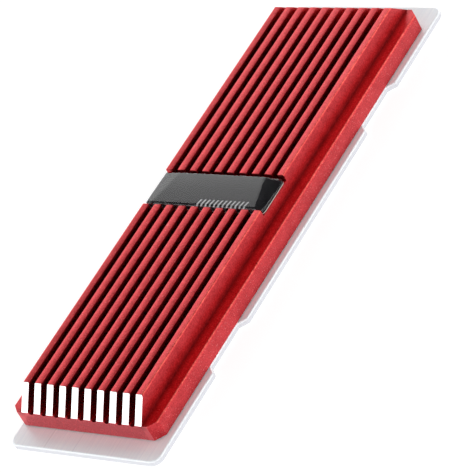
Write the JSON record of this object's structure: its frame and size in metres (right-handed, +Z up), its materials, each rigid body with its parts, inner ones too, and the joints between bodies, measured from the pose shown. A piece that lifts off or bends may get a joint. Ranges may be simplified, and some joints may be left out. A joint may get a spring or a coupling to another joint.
{
  "type": "m.2 solid state drive heat sink",
  "caption": "Slim finned anodised heat sink on a notched aluminium back plate, with thermal tapes that grip an M.2 drive between them.",
  "frame": {"origin": "middle of the back plate's underside, which lies flat on Z = 0", "axes": "+X across the width, +Y along the length, +Z up from the back plate through the fins"},
  "size_m": [0.0225, 0.0762, 0.0057],
  "materials": {
    "bare_aluminium": "fine brushed grain along the length, bare",
    "thermal_tape": "soft matt thermal tape, slightly mottled",
    "liner_film": "thin clear release film, faintly wrinkled",
    "red_anodised": "satin red anodised over a fine bead blast, with bare machined bevels on the fins' ends",
    "badge_glue": "thin foam adhesive",
    "badge_black": "black printed film",
    "clear_resin": "clear glossy poured dome"
  },
  "bodies": {
    "base": {"back_plate": "bare_aluminium", "lower_thermal_tape": "thermal_tape", "lower_tape_liner": "liner_film"},
    "sink": {"heat_sink": "red_anodised", "upper_thermal_tape": "thermal_tape", "upper_tape_liner": "liner_film", "badge_adhesive": "badge_glue", "badge_film": "badge_black", "badge_dome": "clear_resin"}
  },
  "joints": [
    {"name": "sink_lift", "type": "slide", "parent": "base", "child": "sink", "axis": [0, 0, 1], "range_m": [0, 0.012]}
  ]
}
